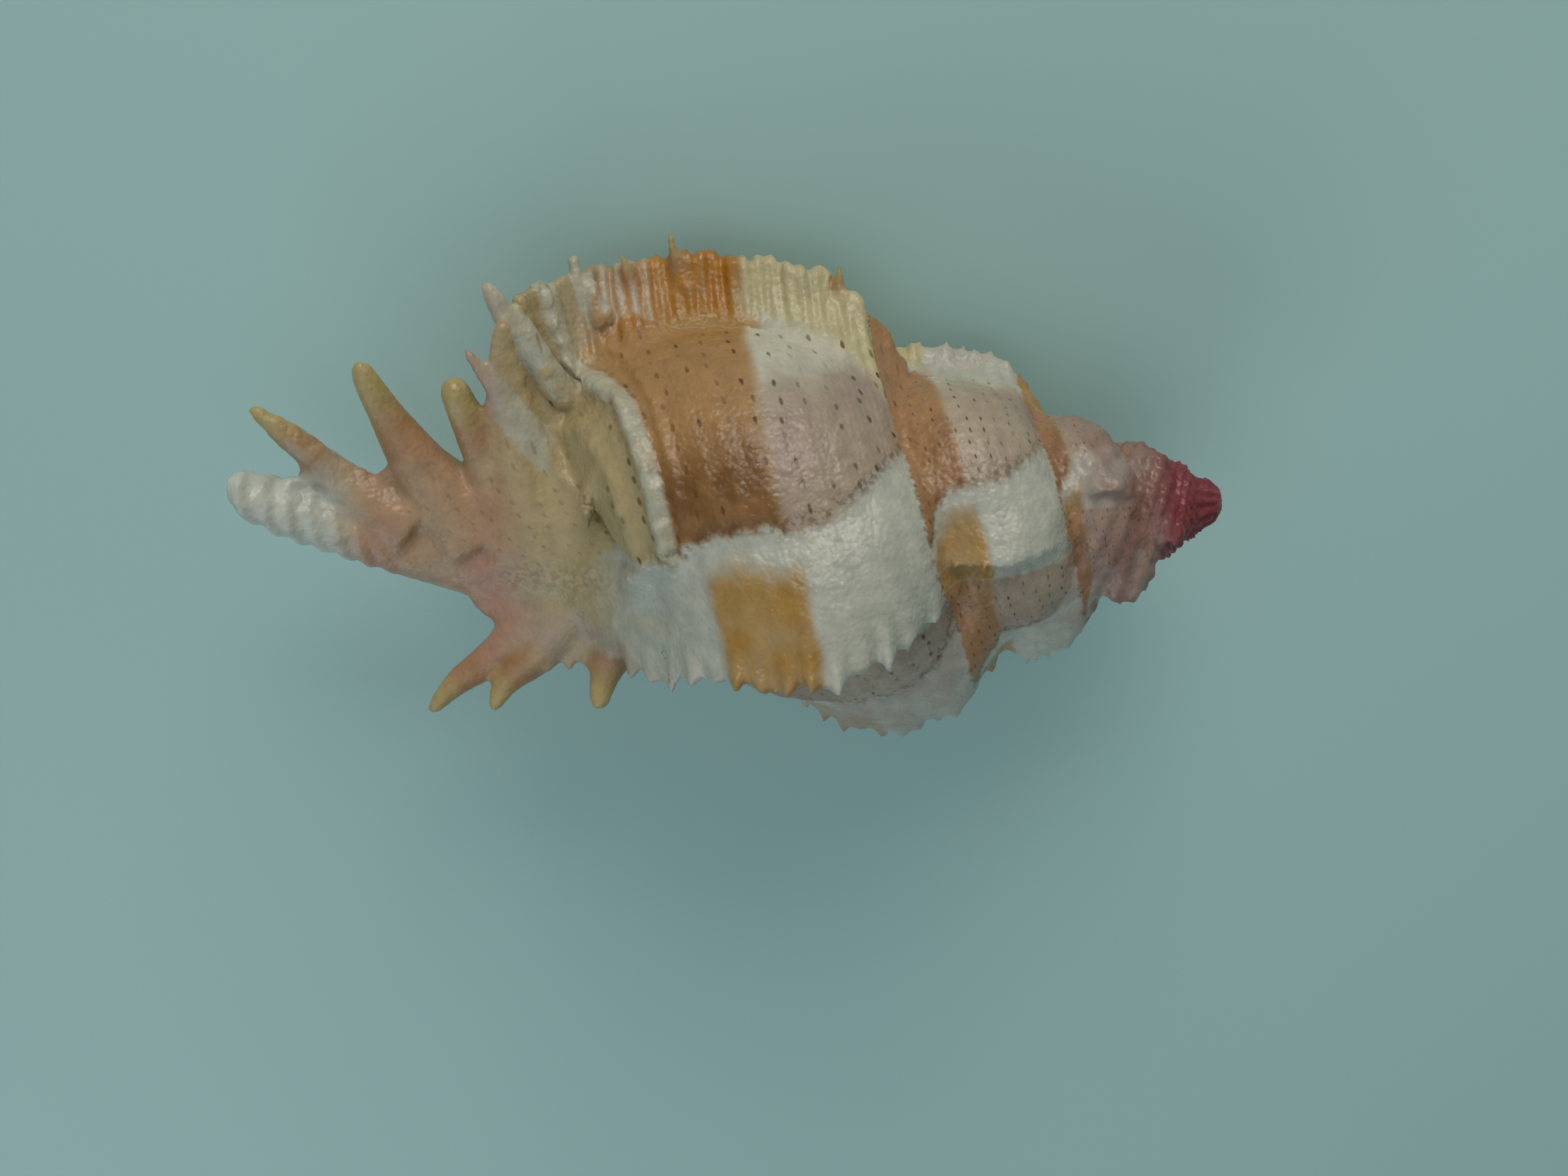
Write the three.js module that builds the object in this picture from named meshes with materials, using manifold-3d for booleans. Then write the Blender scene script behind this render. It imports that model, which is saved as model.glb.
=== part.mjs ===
// A small three-winged murex shell, one natural piece, in millimetres with +Z up.
// It is first grown about its coiling axis, with the apex at the origin and the canal
// towards -X, and then laid on its aperture side.
// a is the distance from the apex along the axis, rho the distance from the axis, and
// angles go round the axis in the direction of growth.
import * as THREE from 'three';
import { LoftGeometry } from 'three/addons/geometries/LoftGeometry.js';
import { mergeVertices } from 'three/addons/utils/BufferGeometryUtils.js';
import Module from 'manifold-3d';

// Coil: each whorl back from the lip is smaller by WHORL_RATIO
const LENGTH = 40;
const WHORL_RATIO = 1.8;
const LIP_CENTRE = 21.2;
const LIP_ANGLE = 122;
const RADIUS_FACTOR = 1.13;
const RADIUS_POWER = 0.67;
const HALF_HEIGHT_SHARE = 0.332;
const INNER_REACH_SHARE = 0.1;
const SPIRE_WHORLS = 4.5;
const APEX_BEAD_RADIUS = 1.0;
const APEX_BEAD_AT = 1.0;

// Core, neck and canal: [a, radius]
const CORE_SHARE = 0.52;
const CORE_START = 0.8;
const CORE_END = 17;
const CANAL = [
  [19.5, 5.0],
  [22, 4.6],
  [24.5, 3.9],
  [27.5, 3.1],
  [30.5, 2.6],
  [33, 2.0],
  [36, 1.65],
  [38.5, 1.4],
  [39.7, 1.15],
  [LENGTH, 0.7],
];
const RECURVE_START = 29;
const RECURVE = 6.1;
const RECURVE_ANGLE = 60;
const RECURVE_POWER = 1.8;

// Varices: outline of each free edge as [a, rho]
const LIP_EDGE = [
  [12.9, 6.6],
  [14.1, 8.6],
  [15.3, 10.1],
  [17.9, 11.2],
  [21.9, 11.8],
  [25.2, 10.9],
  [27.2, 9.6],
  [28.6, 9.2],
  [30, 5.4],
];
const FRONT_EDGE = [
  [11.2, 5.4],
  [13.4, 8.6],
  [16.3, 10.8],
  [19.8, 10.2],
  [22.4, 8.3],
  [25.2, 5.7],
  [27, 3.9],
];
const OLD_EDGE = [
  [8.8, 5.6],
  [11.3, 9.8],
  [14.4, 11.0],
  [16.8, 10.0],
  [18.9, 8.3],
  [21, 5.4],
];
const VARICES = [
  { angle: 120, edge: LIP_EDGE, twistFrom: 24, twistTo: 31 },
  { angle: 2, edge: FRONT_EDGE, twistFrom: 20, twistTo: 27 },
  { angle: -81, edge: OLD_EDGE, twistFrom: 17, twistTo: 23 },
];
const CANAL_TWIST = 36;
const SPIRE_VARIX_SHARE = 0.88;
const TOOTH_PITCH = 1.5;
const TOOTH_DEPTH = 0.7;

// How far each row of varices, from the lip back up the spire, is turned round the axis
const ROW_TURNS = [0, 16, 44];

// A varix in section: its lean, its sunken foot, its waist halfway up and its thin edge
const LEAN_SHARE = 1.15;
const LEAN_MOST = 3.2;
const ROOT_SHARE = 0.6;
const FOOT_SINK = 0.4;
const LEAD_FOOT = 1.5;
const TRAIL_FOOT = 0.9;
const WAIST_HEIGHT = 0.5;
const LEAD_WAIST_LEAN = 0.5;
const LEAD_WAIST = 0.6;
const TRAIL_WAIST_LEAN = 0.4;
const TRAIL_WAIST = 0.3;
const EDGE_HALF_THICKNESS = 0.22;
const EDGE_DROP = 0.1;

// Spines on the canal: base and tip as [a, rho, angle], and the base radius
const SPINES = [
  { base: [28.4, 2.4, 90], tip: [28.7, 7.9, 92], radius: 0.8 },
  { base: [30.2, 1.8, 88], tip: [30.7, 8.6, 90], radius: 1.0 },
  { base: [32.8, 1.2, 84], tip: [34.2, 9.7, 90], radius: 1.1 },
  { base: [35.0, 1.6, 75], tip: [38.2, 8.2, 86], radius: 0.9 },
  { base: [25.4, 2.4, -41], tip: [26.2, 6.9, -41], radius: 0.95 },
  { base: [28.2, 2.6, -42], tip: [30.8, 6.5, -41], radius: 1.0 },
  { base: [29.4, 2.6, -44], tip: [33.4, 6.5, -41], radius: 0.85 },
  { base: [29.0, 1.6, -90], tip: [31.2, 7.0, -84], radius: 1.5 },
  { base: [20.4, 3.6, -130], tip: [20.6, 6.6, -130], radius: 0.6 },
  { base: [21.8, 3.4, -130], tip: [21.9, 7.0, -130], radius: 0.85 },
  { base: [24.0, 2.6, -130], tip: [24.4, 7.2, -130], radius: 1.15 },
];
const SPINE_TIP_SHARE = 0.3;
const SPINE_BEND_SHARE = 0.08;

// Aperture: a narrow oval mouth that follows the coil inwards
const MOUTH_CENTRE_RHO = 5.7;
const MOUTH_HALF_WIDTH = 1.9;
const MOUTH_HALF_LENGTH = 3.7;
const MOUTH_START = -0.1;
const MOUTH_DEPTH = 0.3;
const MOUTH_END_SHARE = 0.6;

// Rest: the turns that lay the shell on its aperture side, and the wear of what it rests on
const REST_ROLL = -75.4;
const REST_PITCH = -1.66;
const REST_YAW = 180;
const REST_WEAR = 0.15;
const FLOOR_SIZE = 100;

const COLOUR = 0xe3b98c;
const ROUGHNESS = 0.4;

// Fineness of the facets
const SECTION_POINTS = 20;
const TURN_SHARE = 0.5;
const BROAD_WHORLS = 1.5;
const BROAD_TURN_STEPS = 12;
const SMALL_TURN_STEPS = 8;
const SPINE_SIDES = 7;
const SPINE_STEPS = 4;
const CORE_SIDES = 18;
const CORE_STEP = 1.8;
const MOUTH_STEPS = 8;
const BEAD_SIDES = 12;
const BEAD_RINGS = 8;
const SAME_POINT = 1e-5;

const wasm = await Module();
wasm.setup();

const { degToRad, radToDeg, lerp, smoothstep } = THREE.MathUtils;

// A point from its distance along the axis, distance from it and angle round it
function polar(a, rho, angle) {
  const turn = degToRad(angle);
  return new THREE.Vector3(-a, -rho * Math.cos(turn), rho * Math.sin(turn));
}

// Straight runs between the points of a [place, value] outline
function along(outline, place) {
  const last = outline.length - 1;
  if (place <= outline[0][0]) {
    return outline[0][1];
  }
  if (place >= outline[last][0]) {
    return outline[last][1];
  }
  const next = outline.findIndex((point) => point[0] > place);
  const [from, low] = outline[next - 1];
  const [to, high] = outline[next];
  return lerp(low, high, (place - from) / (to - from));
}

// The oval section of the coil, n whorls back from the lip
function whorl(n) {
  const centre = LIP_CENTRE * WHORL_RATIO ** -n;
  const radius = RADIUS_FACTOR * centre ** RADIUS_POWER;
  const halfWidth = radius * (1 - INNER_REACH_SHARE) / 2;
  return { centre, radius, halfWidth, rho: radius - halfWidth, halfHeight: centre * HALF_HEIGHT_SHARE };
}

function ringOf(count, point) {
  return Array.from({ length: count }, (_, i) => point((i / count) * 2 * Math.PI));
}

function ovalSection(n, rho, centre, halfWidth, halfHeight) {
  const angle = LIP_ANGLE - 360 * n;
  return ringOf(SECTION_POINTS, (turn) =>
    polar(centre + halfHeight * Math.sin(turn), rho + halfWidth * Math.cos(turn), angle));
}

function coreRadius(a) {
  return CORE_SHARE * RADIUS_FACTOR * a ** RADIUS_POWER;
}

// The distance from the axis to the surface of the coil, without varices
function surface(a, angle) {
  const first = ((LIP_ANGLE - angle) % 360 + 360) % 360 / 360;
  let rho = a < CORE_END ? coreRadius(a) : along(CANAL, a);
  for (let n = first; n < SPIRE_WHORLS; n += 1) {
    const { centre, halfWidth, halfHeight, rho: middle } = whorl(n);
    const share = (a - centre) / halfHeight;
    if (Math.abs(share) < 1) {
      rho = Math.max(rho, middle + halfWidth * Math.sqrt(1 - share * share));
    }
  }
  return rho;
}

// How far the canal bends away from the axis
function canalOffset(a) {
  const share = Math.max(0, (a - RECURVE_START) / (LENGTH - RECURVE_START));
  return polar(0, RECURVE * share ** RECURVE_POWER, RECURVE_ANGLE);
}

// A closed solid through a row of sections, faces outwards
function solidOf(geometry) {
  const bare = new THREE.BufferGeometry();
  bare.setAttribute('position', geometry.attributes.position);
  bare.setIndex(geometry.index);
  const merged = mergeVertices(bare, SAME_POINT);
  const vertProperties = new Float32Array(merged.attributes.position.array);
  const triVerts = new Uint32Array(merged.index.array);
  return new wasm.Manifold(new wasm.Mesh({ numProp: 3, vertProperties, triVerts }));
}

function loft(sections) {
  return solidOf(new LoftGeometry(sections, { capStart: true, capEnd: true }));
}

// Half a turn of the coil
function halfWhorl(start) {
  const steps = start < BROAD_WHORLS ? BROAD_TURN_STEPS : SMALL_TURN_STEPS;
  const sections = [];
  for (let i = 0; i <= steps; i += 1) {
    const n = start + (TURN_SHARE * i) / steps;
    const { centre, halfWidth, halfHeight, rho } = whorl(n);
    sections.push(ovalSection(n, rho, centre, halfWidth, halfHeight));
  }
  return loft(sections);
}

function coreAndCanal() {
  const stations = [];
  for (let a = CORE_START; a < CORE_END; a += CORE_STEP) {
    stations.push([a, coreRadius(a)]);
  }
  stations.push(...CANAL);
  const sections = stations.map(([a, radius]) =>
    ringOf(CORE_SIDES, (turn) => polar(a, radius, radToDeg(turn)).add(canalOffset(a))));
  return loft(sections);
}

function apexBead() {
  const bead = new THREE.SphereGeometry(APEX_BEAD_RADIUS, BEAD_SIDES, BEAD_RINGS);
  bead.translate(-APEX_BEAD_AT, 0, 0);
  return solidOf(bead);
}

// One winged varix: a blade that leans back over the older shell, its free edge toothed
function varix({ angle, edge, twistFrom, twistTo }, row) {
  const shrinkA = WHORL_RATIO ** -row;
  const shrinkRho = (row ? SPIRE_VARIX_SHARE : 1) * WHORL_RATIO ** (-RADIUS_POWER * row);
  const start = edge[0][0];
  const length = edge[edge.length - 1][0] - start;
  const steps = 2 * Math.round(length / TOOTH_PITCH);
  const sections = [];
  for (let i = 0; i <= steps; i += 1) {
    const full = start + (length * i) / steps;
    const a = full * shrinkA;
    const tooth = (i % 2 ? TOOTH_DEPTH : -TOOTH_DEPTH) / 2;
    const place = angle + ROW_TURNS[row] - CANAL_TWIST * smoothstep(full, twistFrom, twistTo);
    const foot = surface(a, place);
    const sunk = foot - FOOT_SINK * shrinkRho;
    const tip = Math.max(sunk, (along(edge, full) + tooth) * shrinkRho);
    const rise = tip - foot;
    const lean = Math.min(LEAN_SHARE * rise, LEAN_MOST * shrinkRho);
    const at = (side, rho) => polar(a, rho, place + radToDeg(side / rho)).add(canalOffset(a));
    const waist = foot + WAIST_HEIGHT * rise;
    sections.push([
      at(lean, ROOT_SHARE * foot),
      at(lean - TRAIL_FOOT * shrinkRho, sunk),
      at(TRAIL_WAIST_LEAN * lean - TRAIL_WAIST * shrinkRho, waist),
      at(-EDGE_HALF_THICKNESS, tip - EDGE_DROP),
      at(EDGE_HALF_THICKNESS, tip),
      at(LEAD_WAIST_LEAN * lean + LEAD_WAIST * shrinkRho, waist),
      at(lean + LEAD_FOOT * shrinkRho, sunk),
    ]);
  }
  return loft(sections);
}

// A canal spine: a tapering horn, bent a little towards the canal's end
function spine({ base, tip, radius }) {
  const from = polar(...base).add(canalOffset(base[0]));
  const to = polar(...tip);
  const middle = from.clone().lerp(to, 0.5);
  middle.x += SPINE_BEND_SHARE * from.distanceTo(to);
  const path = new THREE.QuadraticBezierCurve3(from, middle, to);
  const frames = path.computeFrenetFrames(SPINE_STEPS, false);
  const sections = [];
  for (let i = 0; i <= SPINE_STEPS; i += 1) {
    const share = i / SPINE_STEPS;
    const size = radius * lerp(1, SPINE_TIP_SHARE, share);
    const centre = path.getPoint(share);
    sections.push(ringOf(SPINE_SIDES, (turn) => centre.clone()
      .addScaledVector(frames.normals[i], size * Math.cos(turn))
      .addScaledVector(frames.binormals[i], size * Math.sin(turn))));
  }
  return loft(sections);
}

function mouth() {
  const sections = [];
  for (let i = 0; i <= MOUTH_STEPS; i += 1) {
    const n = lerp(MOUTH_START, MOUTH_DEPTH, i / MOUTH_STEPS);
    const inward = Math.max(0, n);
    const scale = WHORL_RATIO ** -inward * lerp(1, MOUTH_END_SHARE, inward / MOUTH_DEPTH);
    const rho = MOUTH_CENTRE_RHO * WHORL_RATIO ** (-RADIUS_POWER * n);
    const halfWidth = MOUTH_HALF_WIDTH * scale;
    sections.push(ovalSection(n, rho, whorl(n).centre, halfWidth, MOUTH_HALF_LENGTH * scale));
  }
  return loft(sections);
}

function grownShell() {
  let shell = coreAndCanal().add(apexBead());
  for (let start = 0; start < SPIRE_WHORLS; start += TURN_SHARE) {
    shell = shell.add(halfWhorl(start));
  }
  for (let row = 0; row < ROW_TURNS.length; row += 1) {
    for (const each of VARICES) {
      shell = shell.add(varix(each, row));
    }
  }
  for (const each of SPINES) {
    shell = shell.add(spine(each));
  }
  // Where two half turns meet, rounding leaves specks of no volume: only the shell itself is kept
  const bodies = shell.subtract(mouth()).decompose();
  return bodies.reduce((best, body) => (body.volume() > best.volume() ? body : best));
}

function geometryOf(solid) {
  const { vertProperties, triVerts } = solid.getMesh();
  const geometry = new THREE.BufferGeometry();
  geometry.setAttribute('position', new THREE.Float32BufferAttribute(vertProperties, 3));
  geometry.setIndex(new THREE.Uint32BufferAttribute(triVerts, 1));
  return geometry;
}

const restTurn = new THREE.Matrix4()
  .makeRotationZ(degToRad(REST_YAW))
  .multiply(new THREE.Matrix4().makeRotationY(degToRad(REST_PITCH)))
  .multiply(new THREE.Matrix4().makeRotationX(degToRad(REST_ROLL)));

// Small worn flats where the belly, the lip and a canal spine meet the ground
function wornFlat(solid) {
  const laid = geometryOf(solid).applyMatrix4(restTurn);
  laid.computeBoundingBox();
  const ground = new THREE.BoxGeometry(FLOOR_SIZE, FLOOR_SIZE, FLOOR_SIZE);
  ground.translate(0, 0, laid.boundingBox.min.z + REST_WEAR - FLOOR_SIZE / 2);
  ground.applyMatrix4(restTurn.clone().invert());
  return solid.subtract(solidOf(ground));
}

// Turns the shell to rest and puts its origin at the bottom centre of its box
function laidDown(geometry) {
  geometry.applyMatrix4(restTurn);
  geometry.computeBoundingBox();
  const { min, max } = geometry.boundingBox;
  geometry.translate(-(min.x + max.x) / 2, -(min.y + max.y) / 2, -min.z);
  return geometry;
}

const shell = new THREE.Mesh(
  laidDown(geometryOf(wornFlat(grownShell()))),
  new THREE.MeshStandardMaterial({ color: COLOUR, roughness: ROUGHNESS, metalness: 0 }),
);
shell.name = 'shell';

const murex = new THREE.Group();
murex.add(shell);

export default murex;
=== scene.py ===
"""A small three-winged murex shell, laid on its aperture side, and the studio it is seen in."""
import logging
import math
from dataclasses import dataclass, field
from enum import Enum

import bmesh
import bpy
import numpy as np
from mathutils import Matrix, Vector, noise


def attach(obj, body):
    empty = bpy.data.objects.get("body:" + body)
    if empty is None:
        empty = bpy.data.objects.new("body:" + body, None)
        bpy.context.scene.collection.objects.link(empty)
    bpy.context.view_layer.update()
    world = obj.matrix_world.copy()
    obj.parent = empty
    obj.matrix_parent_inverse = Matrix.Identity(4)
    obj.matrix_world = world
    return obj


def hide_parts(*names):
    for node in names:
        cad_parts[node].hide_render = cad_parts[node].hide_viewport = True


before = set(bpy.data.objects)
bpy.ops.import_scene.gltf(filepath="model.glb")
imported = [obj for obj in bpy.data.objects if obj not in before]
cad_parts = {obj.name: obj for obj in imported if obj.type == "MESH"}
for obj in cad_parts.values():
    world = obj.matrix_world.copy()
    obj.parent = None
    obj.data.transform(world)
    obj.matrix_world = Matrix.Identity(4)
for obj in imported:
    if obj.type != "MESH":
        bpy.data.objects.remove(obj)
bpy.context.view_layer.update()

Array = np.ndarray
Floats = tuple[float, ...]
Span = tuple[float, float]
LOG = logging.getLogger("murex")
MM = 0.001
SEED = 7


class Mark(str, Enum):
    """Places and marks that the finish reads at each point, kept as mesh attributes."""

    SPIRAL = "spiral"
    GROWTH = "growth"
    DOTS = "dots"
    # painted shade: a dark colour laid where shade falls in the sutures, creases and grooves
    PAINTED_SHADE = "painted_shade"


class Coat(str, Enum):
    """The colours of the shell in the order they lie over each other, above the cream that is everywhere."""

    WHITE = "white"
    LILAC = "lilac"
    TAN = "tan"
    BROWN = "brown"
    SALMON = "salmon"
    FACE = "face"
    OCHRE = "ochre"
    GREY = "grey"
    SAND = "sand"
    RUST = "rust"
    RIDGE = "ridge"
    CANAL = "canal"
    TIP = "tip"
    HORN = "horn"
    POINT = "point"
    MAUVE = "mauve"
    APEX = "apex"
    THROAT = "throat"


class Kind(Enum):
    """What a spine is: a horn of the canal, or a white frond of the lip."""

    HORN = "horn"
    FROND = "frond"


def polar(a: Array, rho: Array, angle: Array) -> Array:
    """Places points round the coiling axis, in the frame the shell grew in.

    Args:
        a: Distance from the apex along the axis, in mm.
        rho: Distance from the axis, in mm.
        angle: Angle round the axis in the direction of growth, in degrees.

    Returns:
        The points, one row each.
    """
    a, rho, turn = np.broadcast_arrays(a, rho, np.radians(angle))
    return np.stack([-a, -rho * np.cos(turn), rho * np.sin(turn)], axis=-1)


def smooth_step(value: Array, low: float, high: float) -> Array:
    """Rises smoothly from 0 at low to 1 at high."""
    share = np.clip((value - low) / (high - low), 0.0, 1.0)
    return share * share * (3.0 - 2.0 * share)


def fall(value: Array, low: float, high: float) -> Array:
    """Falls smoothly from 1 at low to 0 at high."""
    return 1.0 - smooth_step(value, low, high)


def bell(value: Array, centre: float | Array, width: float) -> Array:
    """A bell of height 1 at centre, fading over width."""
    return np.exp(-(((value - centre) / width) ** 2))


def cloud(points: Array, size: float) -> Array:
    """Smooth noise between about -1 and 1 at each point, with lumps of a size in mm."""
    return np.array([noise.noise(Vector(point)) for point in points / size])


def loft(bm: bmesh.types.BMesh, sections: list[Array]) -> None:
    """Skins a closed body through rings of points, by drawing the rim of one ring on to the next.

    Args:
        bm: The mesh that the body is added to.
        sections: Rings with the same number of points, in order.
    """
    part = bmesh.new()
    ring = bmesh.ops.create_circle(part, cap_ends=False, segments=len(sections[0]), radius=1.0)["verts"]
    rim = list(part.edges)
    for vert, place in zip(ring, sections[0]):
        vert.co = place
    bmesh.ops.edgeloop_fill(part, edges=rim)
    for section in sections[1:]:
        made = bmesh.ops.extrude_edge_only(part, edges=rim)["geom"]
        rim = [item for item in made if isinstance(item, bmesh.types.BMEdge)]
        fresh = {item for item in made if isinstance(item, bmesh.types.BMVert)}
        ring = [next(edge.other_vert(vert) for edge in vert.link_edges if edge.other_vert(vert) in fresh)
                for vert in ring]
        for vert, place in zip(ring, section):
            vert.co = place
    bmesh.ops.edgeloop_fill(part, edges=rim)
    bmesh.ops.recalc_face_normals(part, faces=part.faces)
    mesh = bpy.data.meshes.new("loft")
    part.to_mesh(mesh)
    part.free()
    bm.from_mesh(mesh)
    bpy.data.meshes.remove(mesh)


@dataclass(frozen=True)
class Coil:
    """The law that the shell grows by: one oval section that shrinks with every whorl back from the lip."""

    length: float = 40.0
    ratio: float = 1.8
    lip_centre: float = 21.2
    lip_angle: float = 122.0
    radius_factor: float = 1.13
    radius_power: float = 0.67
    half_height_share: float = 0.332
    inner_reach: float = 0.1
    whorls: float = 4.5
    bead_radius: float = 1.0
    bead_at: float = 1.0
    core_share: float = 0.52
    core_start: float = 0.8
    core_end: float = 17.0
    canal_at: Floats = (19.5, 22.0, 24.5, 27.5, 30.5, 33.0, 36.0, 38.5, 39.7, 40.0)
    canal_radius: Floats = (5.0, 4.6, 3.9, 3.0, 2.4, 1.85, 1.45, 1.25, 1.0, 0.6)
    recurve_start: float = 29.0
    recurve: float = 6.1
    recurve_angle: float = 68.0
    recurve_power: float = 1.8
    core_station: float = 0.4

    def centre(self, n: Array) -> Array:
        """Distance of a section's centre from the apex, n whorls back from the lip."""
        return self.lip_centre * self.ratio ** -n

    def radius(self, n: Array) -> Array:
        """The section's furthest reach from the axis."""
        return self.radius_factor * self.centre(n) ** self.radius_power

    def half_width(self, n: Array) -> Array:
        """Half the section's width across the axis."""
        return self.radius(n) * (1.0 - self.inner_reach) / 2.0

    def half_height(self, n: Array) -> Array:
        """Half the section's height along the axis."""
        return self.centre(n) * self.half_height_share

    def core(self, a: Array) -> Array:
        """Radius of the pillar, of the neck and of the canal at a distance from the apex."""
        pillar = self.core_share * self.radius_factor * np.maximum(a, 0.0) ** self.radius_power
        return np.where(a < self.core_end, pillar, np.interp(a, self.canal_at, self.canal_radius))

    def bend(self, a: Array) -> Array:
        """How far the canal bends away from the axis."""
        share = np.clip((a - self.recurve_start) / (self.length - self.recurve_start), 0.0, 2.0)
        return polar(np.zeros_like(share), self.recurve * share ** self.recurve_power, self.recurve_angle)

    def spiral(self, a: Array, n: Array) -> Array:
        """Share of the section's height, from its apex side, at a place along the axis."""
        return (a - self.centre(n)) / (2.0 * self.half_height(n)) + 0.5

    def back(self, angle: Array) -> Array:
        """Share of a whorl from the lip back to an angle."""
        return np.mod(self.lip_angle - angle, 360.0) / 360.0

    def surface(self, a: Array, angle: Array) -> tuple[Array, Array, Array]:
        """Finds the coil's outside, without its varices.

        Args:
            a: Distances from the apex along the axis.
            angle: Angles round the axis, in degrees.

        Returns:
            The outside's distance from the axis, how many whorls back from the lip it grew, and how far
            it stands above the next layer below, which is nothing at a suture.
        """
        first = self.back(angle)
        reach = self.core(a)
        grown = np.array(first, dtype=float)
        below = np.zeros_like(reach)
        for turn in range(math.ceil(self.whorls)):
            n = first + turn
            share = np.clip((a - self.centre(n)) / self.half_height(n), -1.0, 1.0)
            middle = self.radius(n) - self.half_width(n)
            oval = middle + self.half_width(n) * np.sqrt(1.0 - share ** 2)
            oval = np.where(np.abs(share) < 1.0, oval, 0.0)
            over = oval > reach
            below = np.where(over, reach, np.maximum(below, oval))
            reach = np.where(over, oval, reach)
            grown = np.where(over, n, grown)
        return reach, grown, reach - below

    def oval(self, n: float, rho: float, width: float, height: float, count: int) -> Array:
        """One ring of points round an oval section, n whorls back from the lip."""
        turn = np.linspace(0.0, 2.0 * math.pi, count, endpoint=False)
        angle = self.lip_angle - 360.0 * n
        return polar(self.centre(n) + height * np.sin(turn), rho + width * np.cos(turn), angle)

    def build(self, bm: bmesh.types.BMesh, steps: int = 72, points: int = 40) -> None:
        """Adds the coil, its pillar with the canal, and the apex bead.

        Args:
            bm: The mesh that takes them.
            steps: Sections for each whorl.
            points: Points round each section.
        """
        tube = []
        for n in np.linspace(0.0, self.whorls, int(self.whorls * steps) + 1):
            width = self.half_width(n)
            tube.append(self.oval(n, self.radius(n) - width, width, self.half_height(n), points))
        loft(bm, tube)
        stations = np.arange(self.core_start, self.length, self.core_station)
        turn = np.linspace(0.0, 360.0, points, endpoint=False)
        loft(bm, [polar(a, self.core(a), turn) + self.bend(a) for a in (*stations, self.length)])
        bead = Matrix.Translation((-self.bead_at, 0.0, 0.0))
        bmesh.ops.create_icosphere(bm, subdivisions=3, radius=self.bead_radius, matrix=bead)


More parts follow.
